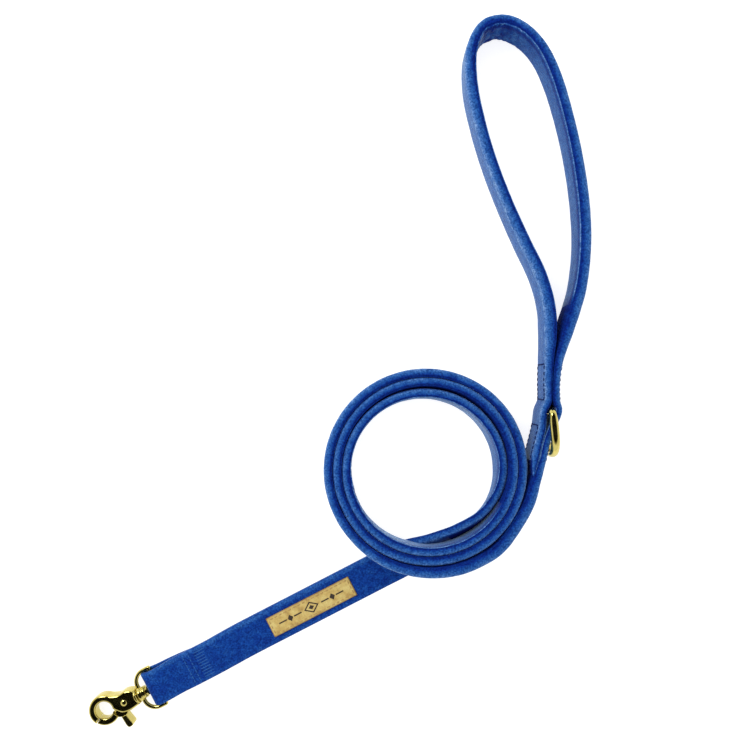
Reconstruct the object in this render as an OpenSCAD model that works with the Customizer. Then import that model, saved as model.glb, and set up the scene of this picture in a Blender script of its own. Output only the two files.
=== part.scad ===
// Velvet-covered flat lead: a sewn hand loop with a D-ring at its base, a long
// strap wound on edge into a loose flat coil, and a flat tail that folds round
// the eye of a swivelling trigger snap. Everything lies on the plane z = 0.

/* [Strap] */
// Width of the velvet-covered strap
strap_w = 19.6; // [18:0.1:19.8]
// Thickness of the velvet-covered strap
strap_t = 4.5; // [4:0.1:4.6]
// Thickness of each layer where two layers are sewn together
sewn_t = 3.7; // [3.4:0.1:3.8]
// Thickness of the velvet sleeve
velvet_t = 0.7; // [0.5:0.05:0.9]

/* [Coil] */
// Radius of the strap's middle line at the start of the coil
coil_r = 54; // [53:0.5:55]
// Distance from one turn of the coil to the next
coil_pitch = 4.75; // [4.7:0.05:4.9]
// Tilt of the coil, which leans on the tail that passes under it
coil_tilt = 5; // [4.5:0.25:5.5]

/* [D-ring] */
// Diameter of the ring's wire
ring_wire = 3.8; // [3.4:0.1:3.9]
// Clear height inside the ring
ring_gap = 20.4; // [20.3:0.1:20.6]
// Distance from the middle of the straight bar to the middle of the bow
ring_depth = 22.9; // [22:0.1:23]

/* [Snap] */
// Thickness of the hook
hook_t = 7.4; // [6.6:0.2:7.4]
// Radius of the hole in the hook's ring
hook_eye_r = 4.7; // [4.5:0.1:4.8]
// Outer radius of the hook's ring
hook_ring_r = 8.4; // [8.2:0.1:8.6]
// Diameter of the eye's wire
eye_wire = 2.3; // [2.1:0.1:2.4]
// Distance between the middles of the eye's two arms
eye_w = 21.7; // [21.7:0.1:22.4]
// Diameter of the pin that the thumb lever turns on
pin_d = 2.2; // [2:0.1:2.4]

/* [Label] */
// Length of the sewn label
label_l = 50.5; // [40:0.5:52]
// Width of the sewn label
label_w = 11.2; // [9:0.2:12]
// Thickness of the label
label_t = 1; // [0.8:0.1:1.2]

/* [Hidden] */
$fn = 48;

velvet_blue = "royalblue";
webbing_blue = "midnightblue";
thread_blue = "navy";
label_tan = "burlywood";
thread_tan = "peru";
gold = "gold";
steel = "silver";

// Strap section: corners are cut by this much, and the webbing clears its
// sleeve by this much
corner = 1.1;
fit_gap = 0.08;

// Strap folded round the eye's bar: width, thickness of a layer, length sewn
// under the tail
fold_w = 18.6;
fold_t = 2.5;
fold_l = 34;

// Hand loop, from the strap's sewn end, up the left side, over the top and
// down through the D-ring to the coil: x, y, height of the lower edge, thickness
handle_route = [
    [103.9, -49, 4.2, 1.6], [104.6, -43.5, 4.2, sewn_t], [106.2, -36, 4.2, sewn_t],
    [108.2, -27.5, 4.2, sewn_t], [109, -19, 4.2, 3.2], [111.3, -11.5, 4.2, sewn_t],
    [111.6, -4, 4.2, sewn_t], [112.3, 8, 4, sewn_t],
    [113, 22, 3.2, strap_t], [112.5, 37, 2.2, strap_t], [108, 53, 1.2, strap_t],
    [100, 70, 0.4, strap_t], [91, 90, 0, strap_t], [82, 112, 0, strap_t],
    [75.5, 134, 0, strap_t], [72, 154, 0, strap_t], [71.8, 171.5, 0, strap_t],
    [77.6, 184, 0, strap_t], [88, 187.7, 0, strap_t], [98.6, 184.2, 0, strap_t],
    [108.5, 174.5, 0, strap_t], [116, 159.5, 0, strap_t], [122.5, 138, 0, strap_t],
    [128, 114, 0, strap_t], [131.5, 90, 0, strap_t], [132.2, 68, 0, strap_t],
    [129.6, 46, 0.4, strap_t], [123.8, 26, 1.6, strap_t], [117.3, 8, 4, sewn_t],
    [115.6, -4, 4.2, sewn_t], [115.8, -11.5, 4.2, sewn_t], [117, -19, 4.2, 3.2],
    [112.9, -28.5, 4.2, sewn_t], [110.1, -36.5, 4.2, sewn_t], [108.5, -44, 4.2, sewn_t], [105.5, -55, 4, strap_t],
    [101.3, -70, 3.2, strap_t], [96, -81, 3.8, strap_t], [88, -90.2, 4.5, strap_t],
    [76, -98.2, 5.5, strap_t]];

// Tail, from the inside of the coil to the fold: distance along the tail's
// line, distance to its coil side, height of the lowest edge, lean from
// upright to flat, thickness, width
tail_origin = [66.5, -84.8];
tail_angle = 207.3;
tail_route = [
    [0, 2, 0, 5, strap_t, strap_w], [9, 3.2, 0, 14, strap_t, strap_w],
    [17, 3.6, 0, 34, strap_t, strap_w], [25, 2.4, 0, 60, strap_t, strap_w],
    [33, 1.2, 0, 79, strap_t, strap_w], [41, 0.4, 0, 88, strap_t, strap_w],
    [50, 0, 0, 90, strap_t, strap_w], [90, 0, 0, 90, strap_t, strap_w],
    [128, 0, 0, 90, strap_t, strap_w], [140, 0, 1, 90, strap_t, strap_w],
    [151, 0, 2.7, 90, 4, strap_w - 0.2], [165, 0, 2.7, 90, 3.4, strap_w - 0.5],
    [173, 0, 2.9, 90, 3, strap_w - 0.8], [181, 0, 4.9, 90, fold_t, fold_w],
    [185.4, 0, 5.05, 90, fold_t, fold_w]];

// Coil: place of its middle, the direction in which it is lifted, and how the
// turns spread from an even spiral
coil_mid = [48, -51];
coil_lift = 5.2;
lift_heading = 240;
coil_in_r = 38;
coil_out_r = 53.2;

// D-ring: place of its straight bar and the heading of its bow
ring_bar = [112.9, -19.2];
ring_heading = -84;

// Snap, along the tail's line from the fold's outer face
snap_origin = tail_origin + 188.6 * [cos(tail_angle), sin(tail_angle)];
snap_z = 3.8;
bar_x = -3.2;
eye_front = 6.6;
eye_corner = 6.5;
barrel_x = [3.4, 7.9];
barrel_r = 3.1;
bore_r = 1.6;
stud_r = 1.55;
stud_head_r = 2.5;
stud_head_t = 1.2;
stud_depth = 2;
end_gap = 0.1;
neck_x = 8;
neck_r = 3.5;
shoulder_x = 9.4;
cheek_r = 5.2;
pivot = [15.7, -0.6];
hook_ring_mid = [27.4, -1.7];
seam_angle = 33;
root_angle = 138;
slot_t = 3;
gate_t = 5.6;
tab_t = 6.4;
lever_hub_r = 3.1;
running_gap = 0.05;

// Label's middle, in the snap's X and Y, and the size of one stitch
label_x = -98.2;
label_y = 0.3;
stitch_l = 2.2;
stitch_d = 0.6;
sink = 0.2;

// --- curves and sweeps ---

function catmull(a, b, c, d, t) =
    0.5 * (2 * b + (c - a) * t + (2 * a - 5 * b + 4 * c - d) * t * t
           + (3 * b - a - 3 * c + d) * t * t * t);

// Value of a list of points at a running index, which may lie between two
function along(list, s) =
    let (i = min(floor(s), len(list) - 2), b = list[i], c = list[i + 1],
         a = i > 0 ? list[i - 1] : 2 * b - c,
         d = i + 2 < len(list) ? list[i + 2] : 2 * c - b)
    catmull(a, b, c, d, s - i);

function unit(v) = v / norm(v);

// A station is [middle, direction of the width, thickness, width]
handle_stations = [for (p = handle_route)
    [[p[0], p[1], p[2] + strap_w / 2], [0, 0, 1], p[3], strap_w]];

tail_dir = [cos(tail_angle), sin(tail_angle), 0];
tail_side = [tail_dir[1], -tail_dir[0], 0];
tail_stations = [for (p = tail_route)
    let (half_h = p[5] / 2 * cos(p[3]) + p[4] / 2 * sin(p[3]))
    [[tail_origin[0], tail_origin[1], 0] + p[0] * tail_dir + p[1] * tail_side
        + [0, 0, p[2] + half_h],
     sin(p[3]) * tail_side + [0, 0, cos(p[3])], p[4], p[5]]];

function station(stations, s) =
    [for (k = [0:3]) along([for (st = stations) st[k]], s)];

function tangent(stations, s) =
    let (e = 0.02, last = len(stations) - 1)
    unit(station(stations, min(s + e, last))[0] - station(stations, max(s - e, 0))[0]);

// Eight corners of the strap's section at a station, set in by inset
function ring(stations, s, inset) =
    let (st = station(stations, s), t = tangent(stations, s),
         w = unit(st[1] - (st[1] * t) * t), n = cross(w, t),
         a = st[3] / 2 - inset, b = st[2] / 2 - inset, c = min(corner - inset / 2, 0.8 * b))
    [for (q = [[a, b - c], [a - c, b], [c - a, b], [-a, b - c],
               [-a, c - b], [c - a, -b], [a - c, -b], [a, c - b]])
        st[0] + q[0] * w + q[1] * n];

// Quads between neighbouring rings of points, the first ring starting at base
function side_faces(base, steps) =
    [for (k = [0:steps - 1], j = [0:7])
        let (m = (j + 1) % 8, p = base + k * 8)
        [p + j, p + 8 + j, p + 8 + m, p + m]];

function reversed(list) = [for (k = [len(list) - 1:-1:0]) list[k]];

// Solid strap, swept through the stations between two running indices
module strap(stations, from, to, steps, inset) {
    pts = [for (k = [0:steps]) each ring(stations, from + (to - from) * k / steps, inset)];
    caps = [[for (j = [0:7]) j], [for (j = [7:-1:0]) steps * 8 + j]];
    polyhedron(pts, concat(side_faces(0, steps), caps), convexity = 10);
}

// Sleeve of the same sweep, open at both ends
module sleeve(stations, steps, wall) {
    last = len(stations) - 1;
    inner = 8 * (steps + 1);
    pts = [for (inset = [0, wall], k = [0:steps]) each ring(stations, last * k / steps, inset)];
    inner_faces = [for (f = side_faces(inner, steps)) reversed(f)];
    ends = [for (j = [0:7])
        let (m = (j + 1) % 8)
        [j, m, inner + m, inner + j]];
    far_ends = [for (f = ends) reversed([for (p = f) p + steps * 8])];
    polyhedron(pts, concat(side_faces(0, steps), inner_faces, ends, far_ends), convexity = 10);
}

// --- places ---

module in_coil() {
    translate([coil_mid[0], coil_mid[1], coil_lift])
        rotate([0, 0, lift_heading])
            rotate([0, -coil_tilt, 0])
                children();
}

// X runs along the tail towards the snap, Z up
module in_snap() {
    translate([snap_origin[0], snap_origin[1], snap_z])
        rotate([0, 0, tail_angle])
            children();
}

// --- lead ---

handle_steps = 2 * (len(handle_stations) - 1);
tail_steps = len(tail_stations) - 1;

module handle_sleeve() {
    color(velvet_blue)
        sleeve(handle_stations, handle_steps, velvet_t);
}

module handle_webbing() {
    color(webbing_blue)
        strap(handle_stations, 0, len(handle_stations) - 1, handle_steps, velvet_t + fit_gap);
}

module coil_sleeve() {
    color(velvet_blue)
        in_coil()
            rotate_extrude($fn = 96)
                translate([coil_in_r, 0])
                    square([coil_out_r - coil_in_r, strap_w]);
}

module tail_sleeve() {
    color(velvet_blue)
        sleeve(tail_stations, tail_steps, velvet_t);
}

module tail_webbing() {
    color(webbing_blue)
        strap(tail_stations, 0, len(tail_stations) - 1, tail_steps, velvet_t + fit_gap);
}

// Section of the strap folded round the eye's bar, in the snap's X and Z
module fold_profile(inset) {
    outer = fold_t + eye_wire / 2 + 0.1;
    inner = eye_wire / 2 + 0.1;
    difference() {
        translate([bar_x, 0])
            circle(outer - inset);
        translate([bar_x, 0])
            circle(inner + inset);
        translate([bar_x - 2 * outer, -2 * outer])
            square([2 * outer, 4 * outer]);
    }
    translate([bar_x - fold_l + inset, inset - outer])
        square([fold_l - inset + 0.001, fold_t - 2 * inset]);
}

module folded(inset) {
    in_snap()
        rotate([90, 0, 0])
            linear_extrude(fold_w - 2 * inset, center = true)
                fold_profile(inset);
}

module fold_sleeve() {
    color(velvet_blue)
        difference() {
            folded(0);
            folded(velvet_t);
        }
}

module fold_webbing() {
    color(webbing_blue)
        folded(velvet_t + fit_gap);
}

// --- label and stitching ---

module label() {
    color(label_tan)
        in_snap()
            translate([label_x - label_l / 2, label_y - label_w / 2, strap_t - snap_z])
                cube([label_l, label_w, label_t]);
}

// One sewn stitch, lying along X with its lower part under the surface
module stitch() {
    translate([-stitch_l / 2, -stitch_d / 2, -sink])
        cube([stitch_l, stitch_d, stitch_d - sink]);
}

module label_stitching() {
    inset = 1.3;
    run_x = label_l / 2 - inset;
    run_y = label_w / 2 - inset;
    count_x = 15;
    count_y = 2;
    color(thread_tan)
        in_snap()
            translate([label_x, label_y, strap_t - snap_z + label_t]) {
                for (k = [0:count_x - 1], side = [-1, 1])
                    translate([run_x * (2 * (k + 0.5) / count_x - 1), side * run_y, 0])
                        stitch();
                for (k = [0:count_y - 1], side = [-1, 1])
                    translate([side * run_x, run_y * (2 * (k + 0.5) / count_y - 1), 0])
                        rotate([0, 0, 90])
                            stitch();
            }
}

// A stitch on the outer face of the upright strap at a running index
module face_stitch(s, height, upright) {
    st = station(handle_stations, s);
    t = tangent(handle_stations, s);
    n = cross([0, 0, 1], t);
    translate(st[0] + st[2] / 2 * n + [0, 0, height])
        rotate([0, 0, atan2(t[1], t[0])])
            rotate([-90, upright ? 90 : 0, 0])
                stitch();
}

// A sewn rectangle on the outer face, between two running indices
module box_stitch(from, to, count) {
    edge = strap_w / 2 - 2.4;
    rows = 5;
    for (k = [0:count - 1], side = [-1, 1])
        face_stitch(from + (to - from) * (k + 0.5) / count, side * edge, false);
    for (k = [0:rows - 1], s = [from, to])
        face_stitch(s, edge * (2 * (k + 0.5) / rows - 1), true);
}

module neck_stitch_upper() {
    color(thread_blue) {
        box_stitch(5.05, 6.7, 6);
        box_stitch(28.3, 29.95, 6);
    }
}

module neck_stitch_lower() {
    color(thread_blue) {
        box_stitch(0.9, 3.3, 7);
        box_stitch(32.2, 33.9, 5);
    }
}

// Two rows of stitches across the tail, at running indices
module tail_stitch() {
    edge = fold_w / 2 - 2;
    count = 6;
    color(thread_blue)
        for (s = [10.2, 12.6], k = [0:count - 1]) {
            st = station(tail_stations, s);
            translate(st[0] + st[2] / 2 * [0, 0, 1])
                rotate([0, 0, tail_angle])
                    translate([0, edge * (2 * (k + 0.5) / count - 1), 0])
                        rotate([0, 0, 90])
                            stitch();
        }
}

// --- D-ring ---

module d_ring() {
    r = ring_wire / 2;
    half = (ring_gap + ring_wire) / 2;
    arm = ring_depth - half;
    color(gold)
        translate([ring_bar[0], ring_bar[1], half + r])
            rotate([0, 0, ring_heading]) {
                cylinder(h = 2 * half, r = r, center = true);
                for (side = [-1, 1])
                    translate([0, 0, side * half]) {
                        sphere(r);
                        rotate([0, 90, 0])
                            cylinder(h = arm, r = r);
                    }
                translate([arm, 0, 0])
                    rotate([90, 0, 0])
                        rotate([0, 0, -90])
                            rotate_extrude(angle = 180)
                                translate([half, 0])
                                    circle(r);
            }
}

// --- snap ---

// A round bar between two points in the snap's X and Y
module wire(a, b) {
    d = b - a;
    translate([a[0], a[1], 0])
        rotate([0, 0, atan2(d[1], d[0])])
            rotate([0, 90, 0])
                cylinder(h = norm(d), r = eye_wire / 2);
}

module swivel_eye() {
    half = eye_w / 2;
    corner_x = eye_front - eye_corner;
    corner_y = half - eye_corner;
    color(gold)
        in_snap()
            difference() {
                union() {
                    wire([bar_x, -half], [bar_x, half]);
                    wire([eye_front, -corner_y], [eye_front, corner_y]);
                    for (side = [-1, 1]) {
                        wire([bar_x, side * half], [corner_x, side * half]);
                        translate([bar_x, side * half, 0])
                            sphere(eye_wire / 2);
                        translate([corner_x, side * corner_y, 0])
                            rotate([0, 0, side > 0 ? 0 : -90])
                                rotate_extrude(angle = 90)
                                    translate([eye_corner, 0])
                                        circle(eye_wire / 2);
                    }
                    translate([barrel_x[0], 0, 0])
                        rotate([0, 90, 0])
                            cylinder(h = barrel_x[1] - barrel_x[0], r = barrel_r);
                }
                translate([barrel_x[0] - 1, 0, 0])
                    rotate([0, 90, 0])
                        cylinder(h = barrel_x[1] - barrel_x[0] + 2, r = bore_r);
            }
}

module swivel_stud() {
    head_x = barrel_x[0] - end_gap - stud_head_t;
    color(gold)
        in_snap()
            translate([head_x, 0, 0])
                rotate([0, 90, 0]) {
                    cylinder(h = stud_head_t, r = stud_head_r);
                    cylinder(h = neck_x - head_x + stud_depth, r = stud_r);
                }
}

// Outline of the hook: neck, cheeks round the pin and the open ring
module hook_outline() {
    mouth = 12;
    difference() {
        union() {
            translate(pivot)
                circle(cheek_r);
            translate(hook_ring_mid)
                circle(hook_ring_r);
            polygon([[shoulder_x, -4.6], [13.3, -6.2], [16.5, -5.9], [19.4, -6.7],
                     [24, -9.4], [24, -2], [21.5, 1.5], [15.7, 4.6], [shoulder_x, 4.2]]);
        }
        translate(hook_ring_mid)
            circle(hook_eye_r);
        translate(hook_ring_mid)
            polygon([[0, 0], mouth * [cos(seam_angle), sin(seam_angle)], [mouth, mouth],
                     [-mouth / 2, mouth], mouth * [cos(root_angle), sin(root_angle)]]);
    }
}

// Pocket between the cheeks for the lever's tongue
module pocket_outline() {
    polygon([[11.2, -3], [14, -4.4], [19, -4], [22.2, -1.6], [24.6, 9], [12.4, 9],
             [12.4, 3], [11.2, 2.4]]);
}

module hook_body() {
    color(gold)
        in_snap()
            difference() {
                union() {
                    linear_extrude(hook_t, center = true)
                        hook_outline();
                    translate([neck_x, 0, 0])
                        rotate([0, 90, 0])
                            cylinder(h = shoulder_x - neck_x, r = neck_r);
                }
                linear_extrude(slot_t, center = true)
                    pocket_outline();
                translate([pivot[0], pivot[1], -hook_t])
                    cylinder(h = 2 * hook_t, r = pin_d / 2);
                translate([neck_x - 1, 0, 0])
                    rotate([0, 90, 0])
                        cylinder(h = stud_depth + 1, r = stud_r);
            }
}

module lever_pin() {
    dome_r = 2.4;
    dome_h = 0.7;
    color(gold)
        in_snap()
            translate([pivot[0], pivot[1], 0]) {
                cylinder(h = hook_t, r = pin_d / 2, center = true);
                intersection() {
                    translate([0, 0, hook_t / 2 + dome_h - dome_r])
                        sphere(dome_r);
                    translate([0, 0, hook_t / 2])
                        cylinder(h = dome_h, r = dome_r);
                }
            }
}

// Part of the ring's wall from one angle to another
module ring_arc(outer, inner, from, to) {
    reach = 2 * outer;
    mid = (from + to) / 2;
    translate(hook_ring_mid)
        difference() {
            intersection() {
                circle(outer);
                polygon([[0, 0], reach * [cos(from), sin(from)], reach * [cos(mid), sin(mid)],
                         reach * [cos(to), sin(to)]]);
            }
            circle(inner);
        }
}

module thumb_lever() {
    tongue_t = slot_t - 0.2;
    color(gold)
        in_snap()
            difference() {
                union() {
                    linear_extrude(gate_t, center = true)
                        ring_arc(hook_ring_r, hook_eye_r, seam_angle + 3.6, root_angle - 6);
                    linear_extrude(tongue_t, center = true) {
                        translate(pivot)
                            circle(lever_hub_r);
                        polygon([[14.5, 2], [17.5, -3], [22.1, 1.6], [23.5, 2.6], [24.5, 5.4],
                                 [20.2, 6.4], [18.2, 6.4]]);
                    }
                    linear_extrude(tab_t, center = true)
                        polygon([[18, 5.9], [20.3, 5.9], [20.2, 11.2], [19.6, 12.2],
                                 [18.7, 12.3], [18.2, 11.6]]);
                }
                translate([pivot[0], pivot[1], -hook_t])
                    cylinder(h = 2 * hook_t, r = pin_d / 2 + running_gap);
            }
}

// Bent leaf behind the pin that pushes the lever shut
module lever_spring() {
    color(steel)
        in_snap()
            linear_extrude(slot_t - 1, center = true)
                polygon([[11.3, -2.6], [11.7, -2.7], [12.5, -0.6], [11.8, 2.2], [11.4, 2.1],
                         [12, -0.6]]);
}

handle_sleeve();
handle_webbing();
coil_sleeve();
tail_sleeve();
tail_webbing();
fold_sleeve();
fold_webbing();
label();
label_stitching();
neck_stitch_upper();
neck_stitch_lower();
tail_stitch();
d_ring();
swivel_eye();
swivel_stud();
hook_body();
lever_pin();
thumb_lever();
lever_spring();
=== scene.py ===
"""A velvet-covered flat lead that lies loosely coiled: hand loop, D-ring, label and trigger snap.

Lengths are in millimetres up to the point where a mesh is made, and MM turns them into metres.
"""

import math

import bpy
from mathutils import Matrix, Vector, noise


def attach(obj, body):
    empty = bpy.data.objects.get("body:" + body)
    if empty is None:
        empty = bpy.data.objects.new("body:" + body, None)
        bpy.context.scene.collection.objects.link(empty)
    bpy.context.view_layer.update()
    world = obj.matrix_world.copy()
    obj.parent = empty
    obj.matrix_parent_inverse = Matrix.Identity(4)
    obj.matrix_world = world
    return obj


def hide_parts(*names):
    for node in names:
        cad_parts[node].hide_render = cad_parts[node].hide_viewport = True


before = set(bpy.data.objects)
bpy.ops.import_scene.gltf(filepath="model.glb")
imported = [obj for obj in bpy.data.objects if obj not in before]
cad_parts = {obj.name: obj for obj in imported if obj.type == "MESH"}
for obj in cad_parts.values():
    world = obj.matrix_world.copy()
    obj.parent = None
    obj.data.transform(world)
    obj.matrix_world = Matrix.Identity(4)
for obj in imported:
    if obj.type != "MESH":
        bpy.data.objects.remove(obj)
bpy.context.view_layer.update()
MM = 0.001

# --- sizes and places ---
# They follow the part's, except that the padded loop is thicker, the coil has its real turns and
# the strap's ends differ a little.

UP = Vector((0, 0, 1))

# Strap: width, and thickness of the plain strap, the padded loop and the sewn layers
STRAP_W = 19.6
STRAP_T = 4.5
LOOP_T = 6.0
SEWN_T = 3.7

# Fold round the eye's bar: width, thickness, length of its lower layer
FOLD_W = 19.0
FOLD_T = 2.5
FOLD_L = 34.0

# Hand loop: x, y, height of the lower edge, thickness
HANDLE_ROUTE = [
    (103.5, -52.5, 4.2, 0.9), (104.6, -43.5, 4.2, SEWN_T), (106.2, -36, 4.2, SEWN_T),
    (108.2, -27.5, 4.2, SEWN_T), (109, -19, 4.2, 3.2), (111.4, -13.2, 4.2, SEWN_T),
    (111.5, -4, 4.2, 3.9), (112.1, 8, 4, 4.6),
    (113.1, 22, 3.2, 6.2), (112.4, 37, 2.2, 6.3), (108.1, 53, 1.2, 6.2),
    (100.3, 70, 0.4, LOOP_T), (91.4, 90, 0, 5.6), (82.9, 112, 0, 5.6),
    (76.3, 134, 0, 5.7), (72.2, 154, 0, LOOP_T), (71.9, 171.5, 0, 5.4),
    (77.6, 184, 0, 5), (88, 187.7, 0, 5.2), (98.6, 184.2, 0, 5.3),
    (108.6, 174.5, 0, 5.5), (116.2, 159.5, 0, 5.8), (122.8, 138, 0, 5.7),
    (128.1, 114, 0, LOOP_T), (131.4, 90, 0, 6.3), (132.1, 68, 0, 6.3),
    (129.5, 46, 0.4, 6.4), (123.3, 26, 1.6, 6.4), (117.3, 8, 4, 4.3),
    (115.6, -4, 4.2, SEWN_T), (115.7, -13.2, 4.2, SEWN_T), (117, -19, 4.2, 3.2),
    (112.9, -28.5, 4.2, SEWN_T), (110.1, -36.5, 4.2, SEWN_T), (108.5, -44, 4.2, SEWN_T),
    (105.3, -55, 4, 5), (100.5, -69.6, 3.2, 6.5),
]
COIL_FIRST = len(HANDLE_ROUTE)

# Tail: distance along its line, distance to its coil side, height of the
# lowest edge, lean from upright to flat, thickness, width
TAIL_ORIGIN = Vector((66.5, -84.8, 0))
TAIL_ANGLE = math.radians(207.3)
TAIL_ROUTE = [
    (0, 1.3, 0, 22, STRAP_T, STRAP_W), (9, 0.7, 0, 33, STRAP_T, STRAP_W),
    (17, 0.3, 0, 45, STRAP_T, STRAP_W), (25, 0.1, 0, 62, STRAP_T, STRAP_W),
    (33, 0.1, 0, 78, STRAP_T, STRAP_W), (41, 0, 0, 87, STRAP_T, STRAP_W),
    (50, 0, 0, 90, STRAP_T, STRAP_W), (90, 0, 0, 90, STRAP_T, STRAP_W),
    (128, 0, 0, 90, STRAP_T, STRAP_W), (140, 0, 1, 90, STRAP_T, STRAP_W),
    (151, 0, 2.7, 90, 4, STRAP_W - 0.2), (165, -0.1, 2.7, 90, 3.4, STRAP_W - 0.1),
    (173, -0.1, 2.9, 90, 3, STRAP_W - 0.3), (181, -0.1, 4.9, 90, FOLD_T, FOLD_W),
    (185.4, -0.1, 5.05, 90, FOLD_T, FOLD_W),
]
TAIL_DIR = Vector((math.cos(TAIL_ANGLE), math.sin(TAIL_ANGLE), 0))
TAIL_SIDE = Vector((TAIL_DIR.y, -TAIL_DIR.x, 0))

# Coil: turns of a spiral that leans on the tail passing under it. The strap comes in from outside
# the spiral, from APPROACH at turn 0 to nothing at APPROACH_TURNS. Its two pieces meet at JOIN_TURN.
COIL_MID = Vector((48, -50, 5.2))
COIL_R = 54.0
COIL_PITCH = 4.75
COIL_TILT = math.radians(5)
COIL_LIFT_HEADING = math.radians(240)
COIL_START = 0.125
COIL_END = 3.125
JOIN_TURN = 1.42
POINTS_PER_TURN = 24
APPROACH = 4.9
APPROACH_TURNS = 0.39

# Snap: its X runs along the tail's line, from a point at the strap's end. Height of its middle,
# place of the eye's bar, thicknesses, pin, and the ring of the hook with its hole
SNAP_ORIGIN = TAIL_ORIGIN + 188.6 * TAIL_DIR
SNAP_Z = 3.8
BAR_X = -3.2
HOOK_T = 7.4
SLOT_T = 3.0
GATE_T = 5.6
TAB_T = 6.4
PIVOT = Vector((15.7, -0.6))
HOOK_RING_MID = Vector((27.4, -1.7))
HOOK_RING_R = 8.4
HOOK_EYE_R = 4.7

# Turned pieces of the snap: x, radius
BEAD = [(3.35, 1.7), (3.35, 2.7), (3.6, 3.1), (4.2, 3.3), (4.9, 3.2), (5.2, 3.15), (5.5, 3.4),
        (6.1, 3.75), (6.9, 3.85), (7.5, 3.6), (7.8, 3.2), (7.92, 2.6), (7.92, 1.7)]
COLLAR = [(8, 1.7), (8, 3.6), (8.2, 4.1), (8.6, 4.4), (9.1, 4.4), (9.5, 4.1), (9.7, 3.4), (9.7, 1.7)]

# D-ring: middle of its bar, heading of its arms, half of the bar, arms, wire
RING_BAR = Vector((112.9, -19.2, 14))
RING_HEADING = math.radians(-84)
RING_HALF = 12.1
RING_ARM = 10.8
RING_WIRE_R = 1.9

# Label, in the snap's frame: middle, length, width, thickness, top, edge to stitch line
LABEL_X = -98.2
LABEL_Y = 0.3
LABEL_L = 50.5
LABEL_W = 11.2
LABEL_T = 1.0
LABEL_TOP = STRAP_T - SNAP_Z + LABEL_T
LABEL_INSET = 1.3


# --- camera ---

def add_camera():
    """Looks straight down from 400 mm above the table, a little right of the part's middle."""
    height = 400
    across = 414.5
    right = 21
    data = bpy.data.cameras.new("camera")
    data.sensor_width = 36
    data.lens = 36 * height / across
    data.clip_start = 0.01
    data.clip_end = 20
    camera = bpy.data.objects.new("camera", data)
    camera.location = (right * MM, 0, height * MM)
    bpy.context.collection.objects.link(camera)
    bpy.context.scene.camera = camera


add_camera()


# --- node helpers ---

def new_material(name):
    """An empty node material with its shader: (material, nodes, links, shader)."""
    material = bpy.data.materials.new(name)
    material.use_nodes = True
    nodes = material.node_tree.nodes
    return material, nodes, material.node_tree.links, nodes["Principled BSDF"]


def noise_node(nodes, links, coords, scale, detail=3.0, stretch=(1, 1, 1)):
    """A noise texture on the object's own coordinates, in cells per metre."""
    mapping = nodes.new("ShaderNodeMapping")
    mapping.inputs["Scale"].default_value = stretch
    texture = nodes.new("ShaderNodeTexNoise")
    texture.inputs["Scale"].default_value = scale
    texture.inputs["Detail"].default_value = detail
    links.new(coords.outputs["Object"], mapping.inputs["Vector"])
    links.new(mapping.outputs["Vector"], texture.inputs["Vector"])
    return texture


def ramp_node(nodes, links, value, stops):
    """A colour ramp driven by value; stops are (place, colour)."""
    ramp = nodes.new("ShaderNodeValToRGB")
    elements = ramp.color_ramp.elements
    while len(elements) < len(stops):
        elements.new(0.5)
    for element, (place, colour) in zip(elements, stops):
        element.position = place
        element.color = (*colour, 1)
    links.new(value, ramp.inputs["Fac"])
    return ramp


def multiply_node(nodes, links, first, second):
    """Multiplies two colours."""
    mix = nodes.new("ShaderNodeMix")
    mix.data_type = "RGBA"
    mix.blend_type = "MULTIPLY"
    mix.inputs["Factor"].default_value = 1.0
    links.new(first, mix.inputs["A"])
    links.new(second, mix.inputs["B"])
    return mix


def bump_node(nodes, links, height, shader, strength, distance):
    """Bump on a shader from a height."""
    bump = nodes.new("ShaderNodeBump")
    bump.inputs["Strength"].default_value = strength
    bump.inputs["Distance"].default_value = distance
    links.new(height, bump.inputs["Height"])
    links.new(bump.outputs["Normal"], shader.inputs["Normal"])


# --- materials ---

def velvet_material(name, sheen):
    """Blue velvet: a vertex attribute paints shade navy into the seams and crevices and paints paler
    highlights on the lips and rounded edges; speckled, with a sheen edge on.
    """
    material, nodes, links, shader = new_material(name)
    coords = nodes.new("ShaderNodeTexCoord")
    # Vertex attribute of painted shade and painted highlights, added to the random patches
    painted_light_and_rim = nodes.new("ShaderNodeAttribute")
    painted_light_and_rim.attribute_name = "painted_light_and_rim"
    patches = noise_node(nodes, links, coords, 210, 4)
    patches.inputs["Distortion"].default_value = 1.0
    speckle = noise_node(nodes, links, coords, 1150, 3)
    centred = nodes.new("ShaderNodeMath")
    centred.operation = "MULTIPLY_ADD"
    centred.inputs[1].default_value = 0.62
    centred.inputs[2].default_value = -0.31
    shade = nodes.new("ShaderNodeMath")
    shade.operation = "ADD"
    links.new(patches.outputs["Fac"], centred.inputs[0])
    links.new(centred.outputs["Value"], shade.inputs[0])
    links.new(painted_light_and_rim.outputs["Fac"], shade.inputs[1])
    base = ramp_node(nodes, links, shade.outputs["Value"], [
        (0.0, (0.001, 0.014, 0.155)), (0.25, (0.0035, 0.038, 0.22)), (0.5, (0.016, 0.078, 0.28)),
        (0.75, (0.048, 0.128, 0.345)), (1.0, (0.14, 0.24, 0.44))])
    grain = ramp_node(nodes, links, speckle.outputs["Fac"], [
        (0.32, (0.35, 0.45, 0.56)), (0.5, (0.94, 0.96, 0.97)), (0.68, (1.9, 1.62, 1.36))])
    colour = multiply_node(nodes, links, base.outputs["Color"], grain.outputs["Color"])
    links.new(colour.outputs["Result"], shader.inputs["Base Color"])
    shader.inputs["Roughness"].default_value = 0.95
    shader.inputs["Specular IOR Level"].default_value = 0.08
    shader.inputs["Sheen Weight"].default_value = sheen
    shader.inputs["Sheen Roughness"].default_value = 0.26
    shader.inputs["Sheen Tint"].default_value = (0.57, 0.74, 0.88, 1)
    bump_node(nodes, links, speckle.outputs["Fac"], shader, 0.5, 0.0004)
    return material


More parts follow.
